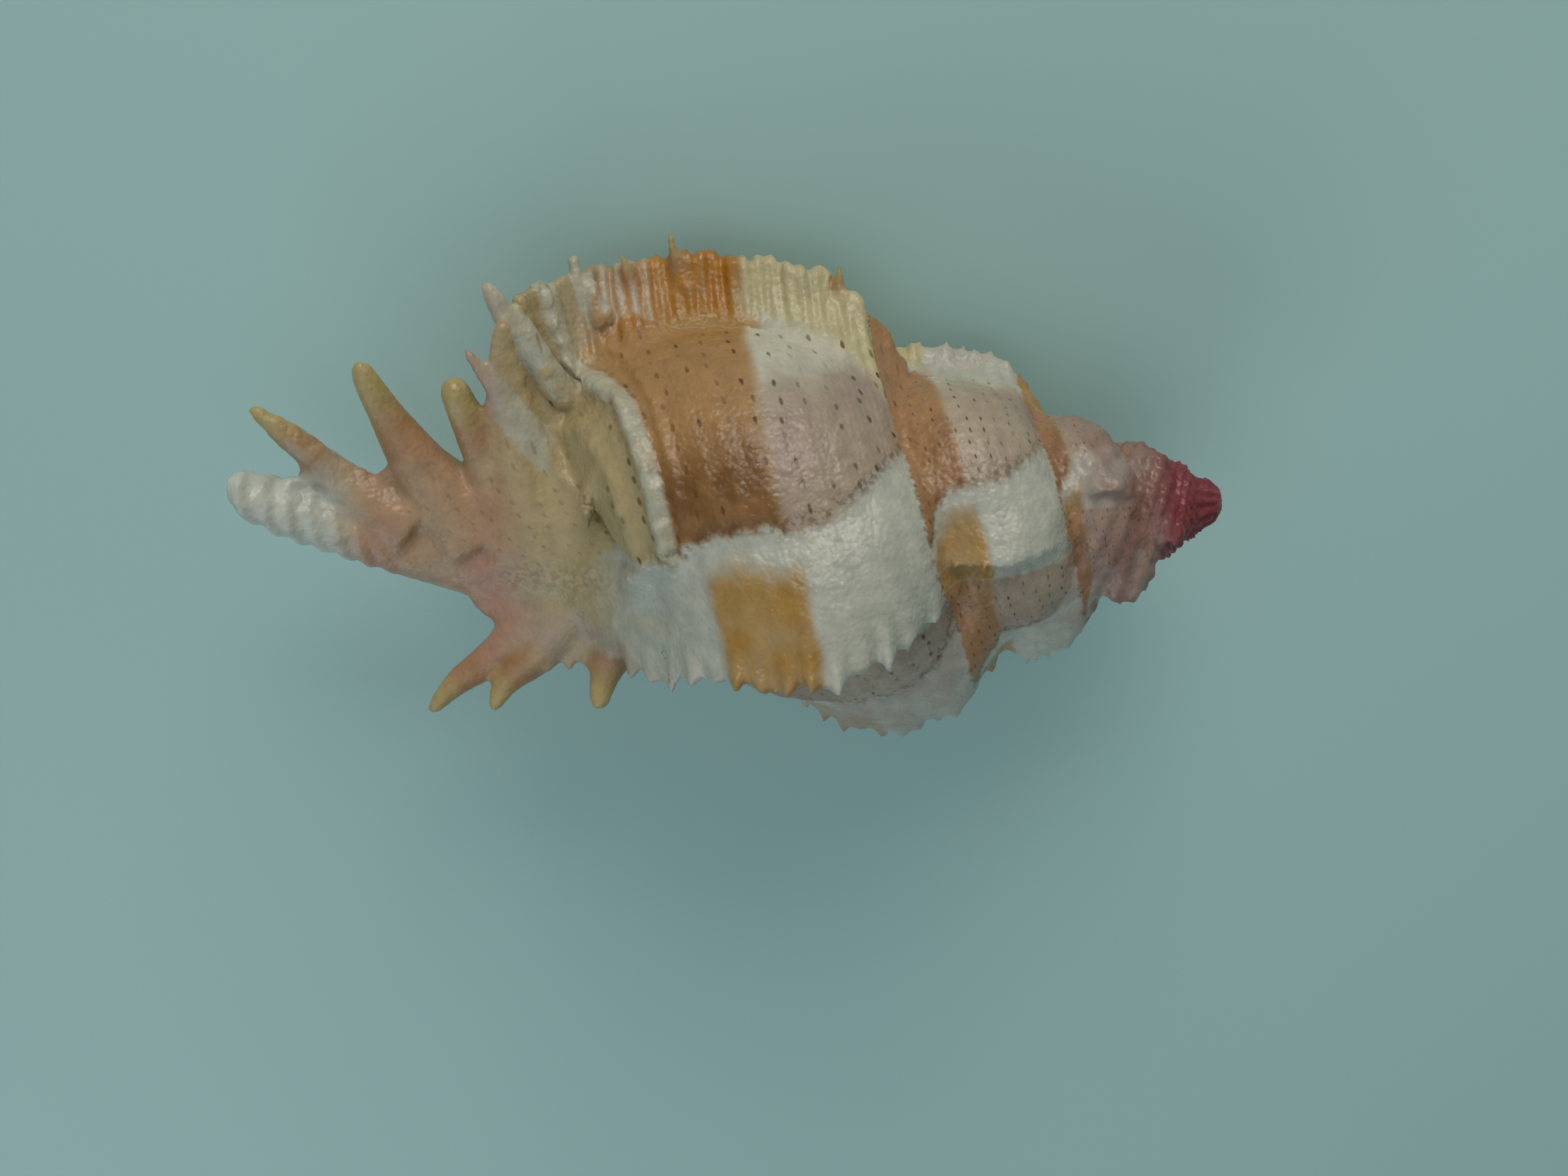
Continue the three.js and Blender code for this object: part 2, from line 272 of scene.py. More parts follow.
@dataclass(frozen=True)
class Varix:
    """A winged varix: a blade that leans back over the older shell, with a lobed, ragged free edge."""

    angle: float
    edge_at: Floats
    edge_rho: Floats
    twist_from: float
    twist_to: float
    lean_most: float = 3.2
    fillet_at: Floats = (0.0,)
    fillet: Floats = (0.9,)
    sag: Floats = (0.45,)
    sag_at: float = 0.4
    twist: float = 36.0
    spire_share: float = 0.88
    lobe: float = 0.45
    spike: float = 0.8
    ragged: float = 0.16
    ragged_pitch: float = 0.3
    lean_share: float = 1.15
    half_thickness: float = 0.17
    lead_foot: float = 1.5
    lead_wrap: float = 0.0
    row_turn: Floats = (0.0, 16.0, 44.0, 80.0)
    frill: float = 0.25
    frill_pitch: float = 2.3
    station: float = 0.1
    side_points: int = 9
    least_lobe: float = 0.4
    spike_rarity: int = 3
    spike_sharpness: int = 7
    tooth_from: float = 0.7
    tooth_span: float = 0.3
    tooth_power: float = 1.3
    tip_inset: float = 0.4
    tip_sunk: float = 0.2
    lead_sunk: float = 0.15
    lead_bulge: float = 0.55
    trail_sunk: float = 0.3
    edge_bevel: float = 0.1
    frill_rise: float = 3.0
    root_share: float = 0.6

    def place(self, full: Array) -> Array:
        """Angle of the free edge, which turns back where the blade runs on to the canal."""
        return self.angle - self.twist * smooth_step(full, self.twist_from, self.twist_to)

    def reach(self, full: Array) -> Array:
        """How far the foot of the leading face lies ahead of the root, more beside the suture."""
        start = self.edge_at[0]
        return self.lead_foot + self.lead_wrap * fall(full, start + 1.0, start + 5.5)

    def outline(self, full: Array) -> Array:
        """The free edge's distance from the axis, its corners rounded."""
        spread = np.linspace(-0.7, 0.7, 9)
        return np.mean([np.interp(full + step, self.edge_at, self.edge_rho) for step in spread], axis=0)

    def teeth(self, phase: Array, full: Array, rng: np.random.Generator) -> Array:
        """The height of the free edge's teeth.

        Args:
            phase: Count of cords, each of which ends in a tooth.
            full: Distance along the axis, on the scale of the last whorl.
            rng: The source of their unevenness.

        Returns:
            The height at each place, in mm.
        """
        number = np.floor(phase).astype(int) - int(math.floor(phase[0]))
        wave = np.sin(math.pi * np.mod(phase, 1.0))
        lobe = self.lobe * rng.uniform(self.least_lobe, 1.0, size=number[-1] + 1)
        spike = self.spike * rng.uniform(0.0, 1.0, size=number[-1] + 1) ** self.spike_rarity
        knots = np.arange(full[0], full[-1] + self.ragged_pitch, self.ragged_pitch)
        ragged = np.interp(full, knots, rng.uniform(-self.ragged, self.ragged, size=len(knots)))
        return lobe[number] * wave + spike[number] * wave ** self.spike_sharpness + ragged

    def build(self, bm: bmesh.types.BMesh, coil: Coil, row: int, cords: float,
              rng: np.random.Generator) -> None:
        """Adds the blade.

        Args:
            bm: The mesh that takes it.
            coil: The coil that it stands on.
            row: How many whorls back it stands.
            cords: Spiral cords on the height of a whorl.
            rng: The source of the teeth's unevenness.
        """
        shrink_a = coil.ratio ** -row
        shrink = (self.spire_share if row else 1.0) * coil.ratio ** (-coil.radius_power * row)
        start, stop = self.edge_at[0], self.edge_at[-1]
        full = np.linspace(start, stop, int((stop - start) / self.station))
        a = full * shrink_a
        place = self.place(full) + self.row_turn[row]
        foot = coil.surface(a, place)[0]
        phase = cords * coil.spiral(a, coil.back(np.array(self.angle + self.row_turn[row])) + row)
        tip = np.maximum(foot - self.tip_sunk * shrink, (self.outline(full) - self.tip_inset) * shrink)
        rise = np.maximum(tip - foot, 0.0)
        tooth = self.teeth(phase, full, rng) * np.minimum(shrink, rise)
        lean = np.minimum(self.lean_share * rise, self.lean_most * shrink)
        wave = self.frill * shrink * np.sin(2.0 * math.pi * full / self.frill_pitch + rng.uniform(0.0, 6.0))
        wave = wave * np.minimum(1.0, rise / (self.frill_rise * shrink))
        edge = self.half_thickness * shrink
        behind = lean - np.interp(full, self.fillet_at, self.fillet) * np.minimum(shrink, rise)
        low = coil.surface(a, place + np.degrees(behind / foot))[0] - self.trail_sunk * shrink
        ahead = lean + self.reach(full) * shrink
        lead_low = coil.surface(a, place + np.degrees(ahead / foot))[0] - self.lead_sunk * shrink
        lead = [(ahead, lead_low), (0.5 * ahead, foot + self.lead_bulge * rise), (edge, tip)]
        sag = np.interp(full, self.fillet_at, self.sag)
        trail = [(behind, low), (self.sag_at * behind, low + sag * (tip - low)),
                 (-edge, tip - self.edge_bevel * shrink)]
        rows = []
        steps = np.linspace(0.0, 1.0, self.side_points)
        for curve, shares in ((trail, steps), (lead, steps[::-1])):
            for t in shares:
                weights = (2.0 * (t - 0.5) * (t - 1.0), -4.0 * t * (t - 1.0), 2.0 * t * (t - 0.5))
                side = sum(weight * point[0] for weight, point in zip(weights, curve)) + wave * t * t
                rho = sum(weight * point[1] for weight, point in zip(weights, curve))
                rho = rho + tooth * max(0.0, (t - self.tooth_from) / self.tooth_span) ** self.tooth_power
                rows.append(polar(a, rho, place + np.degrees(side / rho)) + coil.bend(a))
        root = self.root_share * foot
        rows.append(polar(a, root, place + np.degrees(lean / root)) + coil.bend(a))
        loft(bm, list(np.stack(rows, axis=1)))


@dataclass(frozen=True)
class Spine:
    """A tapering spine. Its points are distances along the axis and from it, and angles round it."""

    points: tuple[tuple[float, float, float], ...]
    radii: Floats
    kind: Kind = Kind.HORN
    steps: int = 30
    sides: int = 16
    round_from: float = 0.9
    round_span: float = 0.1
    round_least: float = 0.06
    aside: tuple[float, float, float] = (0.0, 1.0, 0.3)

    def path(self, coil: Coil) -> Array:
        """The middle line, one smooth curve through the points."""
        knots = polar(*np.array(self.points).T)
        knots[0] += coil.bend(np.array(self.points[0][0]))
        knots = np.concatenate([[2.0 * knots[0] - knots[1]], knots, [2.0 * knots[-1] - knots[-2]]])
        spans = len(self.points) - 1
        line = []
        for t in np.linspace(0.0, spans, self.steps):
            index = min(int(t), spans - 1)
            u = t - index
            before, start, stop, beyond = knots[index:index + 4]
            line.append(0.5 * (2.0 * start + (stop - before) * u
                               + (2.0 * before - 5.0 * start + 4.0 * stop - beyond) * u ** 2
                               + (3.0 * start - before - 3.0 * stop + beyond) * u ** 3))
        return np.array(line)

    def sizes(self) -> Array:
        """The radius at each step, rounded off at the tip."""
        share = np.linspace(0.0, 1.0, self.steps)
        size = np.interp(share, np.linspace(0.0, 1.0, len(self.radii)), self.radii)
        past = np.maximum(0.0, share - self.round_from) / self.round_span
        return size * np.sqrt(np.maximum(self.round_least, 1.0 - past ** 2))

    def build(self, bm: bmesh.types.BMesh, coil: Coil) -> None:
        """Adds the spine as a row of rings."""
        path = self.path(coil)
        rings = []
        turn = np.linspace(0.0, 2.0 * math.pi, self.sides, endpoint=False)
        for index, (centre, size) in enumerate(zip(path, self.sizes())):
            ahead = Vector(path[min(index + 1, self.steps - 1)] - path[max(index - 1, 0)]).normalized()
            across = np.array(ahead.cross(Vector(self.aside)).normalized())
            other = np.cross(np.array(ahead), across)
            rings.append(centre + size * (np.cos(turn)[:, None] * across + np.sin(turn)[:, None] * other))
        loft(bm, rings)


@dataclass(frozen=True)
class Rib:
    """A raised rib of the fan beside the canal, by its distance along the axis at each angle."""

    angle: Floats
    along: Floats
    height: float
    half_width: float
    middle: float = 66.0
    half_turn: float = 48.0
    nowhere: float = -9.0
    fan_radius: float = 7.5
    fade_in: float = 8.0
    fade_out: float = 6.0

    def line(self, angle: Array) -> Array:
        """The rib's distance along the axis at an angle."""
        return np.interp(angle, self.angle, self.along)

    def ahead(self, a: Array, angle: Array) -> Array:
        """How far points lie on the canal's side of the rib, where it runs."""
        runs = np.abs(angle - self.middle) < self.half_turn
        return np.where(runs, a - self.line(angle), self.nowhere)

    def profile(self, a: Array, angle: Array) -> Array:
        """How much of the rib's height each point has."""
        slope = np.gradient(np.array(self.along), np.array(self.angle))
        lean = np.interp(angle, self.angle, slope) * 180.0 / math.pi / self.fan_radius
        ends = smooth_step(angle, self.angle[0], self.angle[0] + self.fade_in)
        ends = ends * fall(angle, self.angle[-1], self.angle[-1] + self.fade_out)
        return bell((a - self.line(angle)) / np.sqrt(1.0 + lean ** 2), 0.0, self.half_width) * ends


@dataclass(frozen=True)
class Mouth:
    """The aperture: a narrow oval that follows the coil inwards."""

    rho: float = 5.7
    half_width: float = 1.9
    half_length: float = 3.7
    start: float = -0.1
    depth: float = 0.3
    end_share: float = 0.6
    sections: int = 24

    def build(self, bm: bmesh.types.BMesh, coil: Coil, points: int = 40) -> None:
        """Adds the body that is cut away."""
        rings = []
        for n in np.linspace(self.start, self.depth, self.sections):
            inward = max(0.0, n)
            scale = coil.ratio ** -inward * (1.0 + (self.end_share - 1.0) * inward / self.depth)
            rho = self.rho * coil.ratio ** (-coil.radius_power * n)
            rings.append(coil.oval(n, rho, self.half_width * scale, self.half_length * scale, points))
        loft(bm, rings)


def linear(code: str) -> tuple[float, float, float, float]:
    """Turns an sRGB hex colour into linear values with full opacity."""
    parts = [int(code[i:i + 2], 16) / 255.0 for i in (1, 3, 5)]
    values = [part / 12.92 if part <= 0.04045 else ((part + 0.055) / 1.055) ** 2.4 for part in parts]
    return (*values, 1.0)


def add(tree: bpy.types.NodeTree, kind: str, settings: dict | None = None,
        inputs: dict | None = None) -> bpy.types.Node:
    """Adds one node with its settings and links.

    Args:
        tree: The node tree that takes it.
        kind: The node's type.
        settings: Properties of the node.
        inputs: For each socket's name or number, its value or the socket that feeds it.

    Returns:
        The node.
    """
    node = tree.nodes.new(kind)
    for name, value in (settings or {}).items():
        setattr(node, name, value)
    for key, value in (inputs or {}).items():
        if isinstance(value, bpy.types.NodeSocket):
            tree.links.new(value, node.inputs[key])
        else:
            node.inputs[key].default_value = value
    return node


@dataclass
class Place:
    """Where points stand on the grown shell, one value of each for every point."""

    points: Array
    along: Array
    angle: Array
    spiral: Array
    growth: Array
    lift: Array
    gap: Array
    past: Array
    horn: Array
    frond: Array
    ridge: Array
    fan: Array
    inside: Array


@dataclass(frozen=True)
class ShellFinish:
    """Calcareous shell grown in layers: like porcelain, banded and dotted, with a waxy, granular gloss."""

    cream: str = "#B7A278"
    white: str = "#CDC5B4"
    lilac: str = "#A58A80"
    tan: str = "#AE814F"
    brown: str = "#7A4E1C"
    salmon: str = "#AC7F58"
    face: str = "#BEBCAF"
    ochre: str = "#AC8034"
    grey: str = "#AD9A8C"
    sand: str = "#C6B890"
    rust: str = "#B3731F"
    ridge: str = "#BDB9A6"
    canal: str = "#B98670"
    tip: str = "#C8C9BE"
    horn: str = "#A97F57"
    point: str = "#B9A46E"
    mauve: str = "#946C60"
    apex: str = "#86383E"
    throat: str = "#C2AC9E"
    dot: str = "#5E3A18"
    # dark brown painted shade for the sutures, creases and the groove beside the ridge
    shade_colour: str = "#5A3A18"
    cords: float = 12.0
    dots_round: float = 56.0
    dash: Span = (0.085, 0.23)
    mottle_size: float = 1.3
    blotch_size: float = 3.2
    fleck_size: float = 0.55
    # lump size of the noise that breaks up the painted shade along the sutures
    shade_patch_size: float = 2.2
    mottling: float = 0.7
    grain: float = 0.25
    granules: float = 0.22
    relief: float = 0.06
    row_count: int = 64
    body_end: Span = (23.5, 27.0)
    band_start: Span = (-0.02, 0.03)
    band_end: Span = (0.47, 0.52)
    ridge_side: Span = (-0.3, 0.2)

    def coats(self, at: Place) -> dict[Coat, Array]:
        """Works out how strongly each colour covers each point.

        Args:
            at: Where the points stand.

        Returns:
            A share from 0 to 1 for every point and colour.
        """
        mottle = cloud(at.points, self.mottle_size)
        blotch = cloud(at.points, self.blotch_size)
        fleck = cloud(at.points, self.fleck_size)
        spiral = at.spiral + 0.012 * mottle + 0.006 * fleck
        past = at.past + 0.5 * mottle + 0.25 * fleck
        body = fall(at.along, *self.body_end)
        spire = smooth_step(at.growth, 0.8, 0.95)
        face = fall(past, -0.4, 0.1) * body
        low = 0.365 + 0.2 * np.minimum(at.growth, 0.3) + 0.09 * at.growth
        start = [low + edge for edge in self.band_start]
        end = [low + edge for edge in self.band_end]
        band = smooth_step(spiral, *start) * fall(spiral, *end) * body * fall(at.fan, *self.ridge_side)
        before = fall(spiral, *start)
        # high in the valleys between the lip's sculpted ribs, where the rust below paints shade
        ribs = 0.5 + 0.5 * np.cos(4.0 * math.pi * at.spiral * self.cords)
        on_lip = smooth_step(at.lift, 0.15, 1.0) * fall(at.growth, 0.06, 0.12)
        old = smooth_step(at.growth, 0.36, 0.40) * fall(at.growth, 0.9, 1.0)
        patch = face * smooth_step(spiral, low - 0.06, low - 0.02) * fall(spiral, low + 0.25, low + 0.30)
        streak = 0.25 + 0.6 * ribs + 0.5 * bell(spiral, low + 0.06, 0.035) + 0.2 * mottle
        canal = smooth_step(at.along, 27.5, 31.0) * fall(at.along, 34.5, 37.0)
        coats = {
            Coat.WHITE: before * (0.35 + 0.65 * smooth_step(past, 4.5, 7.5)) * body,
            Coat.LILAC: before * fall(past, 4.5, 8.5) * (0.65 + 0.35 * blotch) * body,
            Coat.TAN: band * (1.0 - face),
            Coat.BROWN: band * (1.0 - face) * fall(past, 2.6, 5.2) * (0.75 + 0.5 * mottle + 0.3 * fleck),
            Coat.SALMON: band * (1.0 - face) * spire * (0.7 + 0.3 * blotch),
            Coat.FACE: face,
            Coat.OCHRE: patch * fall(past, -2.0, -0.7) * (0.9 + 0.2 * mottle),
            Coat.GREY: old * (0.55 + 0.5 * mottle),
            Coat.SAND: on_lip * before,
            # rust: the band's own orange streaks, with painted shade in the valleys between the lip's ribs
            Coat.RUST: on_lip * band * streak,
            Coat.RIDGE: np.maximum(smooth_step(at.ridge, 0.25, 0.6), at.frond) * (0.85 + 0.3 * fleck),
            Coat.CANAL: canal * (0.7 + 0.6 * blotch),
            Coat.TIP: smooth_step(at.along, 34.8, 37.0),
            Coat.HORN: smooth_step(at.horn, 0.36, 0.62) * (0.85 + 0.4 * fleck),
            Coat.POINT: smooth_step(at.horn, 0.6, 0.95),
            Coat.MAUVE: fall(at.along, 3.5, 8.0) * (0.85 + 0.5 * mottle),
            Coat.APEX: fall(at.along, 2.2, 3.6),
            Coat.THROAT: at.inside,
        }
        return {coat: np.clip(share, 0.0, 1.0) for coat, share in coats.items()}

    def marks(self, at: Place, rng: np.random.Generator) -> dict[Mark, Array]:
        """Works out where the brown dots and the painted shade in sutures, creases and grooves go.

        Args:
            at: Where the points stand.
            rng: The source of the rows' unevenness.

        Returns:
            The value of each mark at each point.
        """
        row = np.floor(at.spiral * self.cords).astype(int)
        strength = rng.uniform(0.45, 1.0, size=self.row_count)[np.mod(row, self.row_count)]
        suture = fall(at.gap, 0.1, 1.2)
        clean = fall(at.horn, 0.3, 0.5) * (1.0 - at.inside) * fall(at.along, 33.0, 36.0)
        face = fall(at.past, -0.6, 0.0)
        dots = strength * clean * (1.0 - face) * (1.0 - smooth_step(at.ridge, 0.4, 0.7))
        dots = dots + 0.4 * suture * (1.0 - face)
        dots = dots * (1.0 - 0.6 * smooth_step(at.along, 23.5, 25.5))
        # painted shade in the crease at the foot of each wing's leading face
        crease_shade = fall(np.abs(at.past), 0.1, 0.55) * smooth_step(at.along, 6.0, 9.0)
        crease_shade = crease_shade * fall(at.along, 22.0, 24.0)
        # painted shadow in the groove beside the fan's white ridge
        rim = bell(at.ridge, 0.28, 0.12) * smooth_step(at.angle, 30.0, 50.0)
        # painted shade on a patch at the canal's root, about 12 degrees round the axis
        fork_shade = smooth_step(at.along, 24.0, 26.0) * fall(at.along, 29.0, 31.0) * bell(at.angle, 12.0, 12.0)
        # painted shade along the sutures, broken up by noise
        suture_shade = 0.8 * fall(at.gap, 0.05, 0.6) * smooth_step(cloud(at.points, self.shade_patch_size), -0.1, 0.3)
        # all of these together are painted shade, kept off the aperture's inside
        painted_shade = np.maximum.reduce([suture_shade, 0.55 * crease_shade, 0.35 * rim, 0.3 * fork_shade])
        return {Mark.SPIRAL: at.spiral, Mark.GROWTH: at.growth, Mark.DOTS: np.clip(dots, 0.0, 1.0),
                Mark.PAINTED_SHADE: painted_shade * (1.0 - at.inside)}

    def material(self) -> bpy.types.Material:
        """Makes the shell's material.

        Returns:
            The material, which reads the shell's coats and marks and Object coordinates.
        """
        material = bpy.data.materials.new("calcareous_shell")
        material.use_nodes = True
        tree = material.node_tree
        tree.nodes.clear()
        read = {each: add(tree, "ShaderNodeAttribute", {"attribute_name": each.value}).outputs["Fac"]
                for each in (*Coat, *Mark)}
        place = add(tree, "ShaderNodeTexCoord").outputs["Object"]
        # Cloudy growth and a fine grain, each of a size in mm
        mottle = add(tree, "ShaderNodeTexNoise", None,
                     {"Vector": place, "Scale": 1.0 / (self.mottling * MM), "Detail": 4.0}).outputs["Fac"]
        grain = add(tree, "ShaderNodeTexNoise", None,
                    {"Vector": place, "Scale": 1.0 / (self.grain * MM), "Detail": 3.0}).outputs["Fac"]

        # The coats of colour, each where its share says
        layer = linear(self.cream)
        for coat in Coat:
            layer = add(tree, "ShaderNodeMix", {"data_type": "RGBA"},
                        {0: read[coat], 6: layer, 7: linear(getattr(self, coat.value))}).outputs[2]
        cloudy = add(tree, "ShaderNodeMapRange", None,
                     {"Value": mottle, "From Min": 0.3, "From Max": 0.7, "To Min": 0.88, "To Max": 1.1})
        layer = add(tree, "ShaderNodeMix", {"data_type": "RGBA", "blend_type": "MULTIPLY"},
                    {0: 1.0, 6: layer, 7: cloudy.outputs[0]}).outputs[2]

        # Rows of brown dashes that follow growth, 0.2 by 0.4 mm and about 1 mm apart
        sheet = add(tree, "ShaderNodeCombineXYZ", None, {0: read[Mark.SPIRAL], 1: read[Mark.GROWTH]})
        grid = add(tree, "ShaderNodeVectorMath", {"operation": "MULTIPLY"},
                   {0: sheet.outputs[0], 1: (self.cords, self.dots_round, 0.0)}).outputs[0]
        cell = add(tree, "ShaderNodeTexVoronoi", {"voronoi_dimensions": "2D"},
                   {"Vector": grid, "Scale": 1.0, "Randomness": 0.35})
        away = add(tree, "ShaderNodeVectorMath", {"operation": "SUBTRACT"},
                   {0: grid, 1: cell.outputs["Position"]})
        dash = add(tree, "ShaderNodeVectorMath", {"operation": "MULTIPLY"},
                   {0: away.outputs[0], 1: (1.0 / self.dash[0], 1.0 / self.dash[1], 0.0)})
        size = add(tree, "ShaderNodeVectorMath", {"operation": "LENGTH"}, {0: dash.outputs[0]})
        worn = add(tree, "ShaderNodeMath", {"operation": "MULTIPLY_ADD"},
                   {0: grain, 1: 0.9, 2: size.outputs["Value"]})
        ink = add(tree, "ShaderNodeMapRange", {"interpolation_type": "SMOOTHSTEP"},
                  {"Value": worn.outputs[0], "From Min": 1.0, "From Max": 1.6, "To Min": 1.0, "To Max": 0.0})
        chance = add(tree, "ShaderNodeMapRange", None,
                     {"Value": cell.outputs["Color"], "From Min": 0.2, "From Max": 0.5})
        some = add(tree, "ShaderNodeMath", {"operation": "MULTIPLY"},
                   {0: ink.outputs[0], 1: chance.outputs[0]})
        dots = add(tree, "ShaderNodeMath", {"operation": "MULTIPLY"},
                   {0: some.outputs[0], 1: read[Mark.DOTS]})
        layer = add(tree, "ShaderNodeMix", {"data_type": "RGBA"},
                    {0: dots.outputs[0], 6: layer, 7: linear(self.dot)}).outputs[2]

        # Painted shade: a dark colour in the sutures, creases and the groove beside the ridge, broken up by
        # the grain
        patchy = add(tree, "ShaderNodeMapRange", {"interpolation_type": "SMOOTHSTEP"},
                     {"Value": grain, "From Min": 0.42, "From Max": 0.62})
        painted_shade = add(tree, "ShaderNodeMath", {"operation": "MULTIPLY"},
                   {0: patchy.outputs[0], 1: read[Mark.PAINTED_SHADE]})
        layer = add(tree, "ShaderNodeMix", {"data_type": "RGBA"},
                    {0: painted_shade.outputs[0], 6: layer, 7: linear(self.shade_colour)}).outputs[2]

        rough = add(tree, "ShaderNodeMapRange", None,
                    {"Value": grain, "From Min": 0.3, "From Max": 0.7, "To Min": 0.26, "To Max": 0.5})
        # Granules, and the grain between them, stand out a little
        granule = add(tree, "ShaderNodeTexVoronoi", {"feature": "SMOOTH_F1"},
                      {"Vector": place, "Scale": 1.0 / (self.granules * MM), "Smoothness": 0.6})
        height = add(tree, "ShaderNodeMath", {"operation": "SUBTRACT"},
                     {0: grain, 1: granule.outputs["Distance"]})
        relief = add(tree, "ShaderNodeBump", None,
                     {"Height": height.outputs[0], "Strength": 0.5, "Distance": self.relief * MM})
        shader = add(tree, "ShaderNodeBsdfPrincipled", None, {
            "Base Color": layer, "Roughness": rough.outputs[0], "IOR": 1.53,
            "Normal": relief.outputs["Normal"], "Subsurface Weight": 0.2,
            "Subsurface Radius": (0.6, 0.4, 0.25), "Subsurface Scale": 0.5 * MM})
        add(tree, "ShaderNodeOutputMaterial", None, {"Surface": shader.outputs["BSDF"]})
        return material


def lip_varix() -> Varix:
    """The outer lip's wing, the newest, which rises smoothly from the body."""
    return Varix(120.0, (12.7, 13.6, 15.3, 17.9, 21.9, 25.2, 27.2, 28.4, 29.4, 30.2),
                 (6.8, 8.6, 10.5, 11.5, 12.0, 11.6, 11.3, 11.2, 8.8, 4.6), 24.0, 31.0,
                 lean_most=1.3, fillet_at=(13.0, 15.5, 18.5, 21.8, 23.8, 26.5),
                 fillet=(6.5, 5.6, 3.6, 3.8, 7.5, 7.5), sag=(0.24, 0.24, 0.24, 0.26, 0.30, 0.24), sag_at=0.36,
                 lobe=0.3, spike=0.35, spire_share=0.96)


def front_varix() -> Varix:
    """The wing a third of a whorl back."""
    return Varix(2.0, (11.2, 13.4, 16.3, 19.8, 22.4, 25.2, 27.0),
                 (5.4, 8.6, 10.8, 10.2, 8.3, 5.7, 3.9), 20.0, 27.0, lead_foot=1.9, lead_wrap=3.0)


def old_varix() -> Varix:
    """The oldest wing of the body whorl."""
    return Varix(-81.0, (8.8, 11.3, 14.4, 16.8, 18.9, 21.0),
                 (5.6, 9.8, 11.0, 10.0, 8.3, 5.4), 17.0, 23.0, lead_wrap=2.0)


def canal_webs() -> list[Varix]:
    """Low jagged lamellae that join the feet of the canal's horns, and its rough lower edge."""
    thin = {"twist_from": 40.0, "twist_to": 41.0, "lean_most": 0.5, "half_thickness": 0.14,
            "fillet": (0.8,), "lead_foot": 0.7}
    return [
        Varix(88.0, (26.5, 28.5, 31.5, 33.5, 36.0, 38.0), (4.4, 4.9, 4.3, 3.9, 3.0, 1.8), **thin),
        Varix(-40.0, (22.8, 25.0, 28.0, 29.8, 31.5), (4.8, 5.5, 5.4, 4.6, 2.8), **thin),
        Varix(-62.0, (26.5, 30.0, 33.0, 36.0, 38.8), (3.2, 2.7, 2.0, 1.6, 1.3), **thin),
    ]


def canal_spines() -> list[Spine]:
    """The horns of the canal: a row for each wing, and one blunt one."""
    return [
        Spine(((28.0, 2.0, 86.0), (28.3, 5.0, 92.0), (28.7, 8.0, 92.0)), (1.5, 0.55, 0.26)),
        Spine(((29.4, 1.8, 84.0), (30.0, 5.0, 89.0), (30.4, 6.8, 90.0), (30.7, 8.6, 90.0)),
              (2.0, 0.9, 0.72, 0.55)),
        Spine(((31.2, 1.2, 78.0), (32.6, 4.6, 86.0), (33.6, 7.2, 90.0), (34.2, 9.7, 90.0)),
              (2.2, 1.2, 0.72, 0.42)),
        Spine(((33.6, 1.2, 66.0), (35.8, 4.6, 80.0), (37.4, 6.8, 84.0), (38.8, 8.4, 86.0)),
              (1.5, 0.85, 0.58, 0.24)),
        Spine(((24.0, 1.8, -36.0), (25.6, 4.6, -41.0), (26.1, 5.8, -41.0), (26.4, 7.1, -40.0)),
              (2.0, 0.95, 0.62, 0.36)),
        Spine(((26.6, 1.8, -40.0), (28.6, 4.2, -42.0), (30.2, 5.6, -42.0), (30.9, 6.9, -41.0)),
              (1.9, 1.0, 0.62, 0.22)),
        Spine(((27.6, 2.0, -42.0), (30.6, 4.4, -43.0), (32.4, 5.6, -42.0), (33.6, 6.8, -41.0)),
              (1.6, 0.8, 0.55, 0.24)),
        Spine(((29.0, 1.6, -90.0), (30.0, 4.4, -88.0), (31.2, 7.0, -84.0)), (2.0, 1.1, 0.55)),
        Spine(((20.4, 3.6, -130.0), (20.5, 5.0, -130.0), (20.6, 6.6, -130.0)), (0.9, 0.5, 0.22)),
        Spine(((21.8, 3.4, -130.0), (21.7, 5.0, -130.0), (21.9, 7.0, -130.0)), (1.2, 0.6, 0.28)),
        Spine(((24.0, 2.6, -130.0), (24.0, 5.0, -130.0), (24.4, 7.2, -130.0)), (1.6, 0.8, 0.38)),
    ]


def lip_fronds() -> list[Spine]:
    """White fronds of the fan, the lip's few thin spikes, and the thick foot of the front wing's end."""
    return [
        Spine(((26.2, 6.8, 96.0), (27.8, 9.8, 97.0), (28.9, 12.0, 97.0)), (0.5, 0.45, 0.14), Kind.FROND),
        Spine(((27.2, 3.4, 86.0), (28.9, 7.8, 90.0), (29.9, 9.9, 91.0)), (0.9, 0.42, 0.14), Kind.FROND),
        Spine(((24.8, 9.2, 112.0), (25.5, 10.6, 113.0), (26.0, 12.1, 113.0)),
              (0.5, 0.36, 0.12), Kind.FROND),
        Spine(((21.0, 6.8, 4.0), (22.8, 5.6, -2.0), (24.6, 4.4, -8.0)), (0.6, 0.9, 0.6), Kind.FROND),
        Spine(((21.5, 10.2, 119.0), (21.8, 11.3, 119.0), (22.0, 12.8, 118.0)), (0.5, 0.3, 0.1)),
        Spine(((23.6, 10.2, 117.0), (23.8, 11.1, 117.0), (24.0, 12.1, 116.0)), (0.36, 0.26, 0.1)),
        Spine(((15.3, 9.0, 120.0), (15.2, 10.0, 120.0), (15.1, 10.9, 119.0)), (0.36, 0.24, 0.1)),
    ]


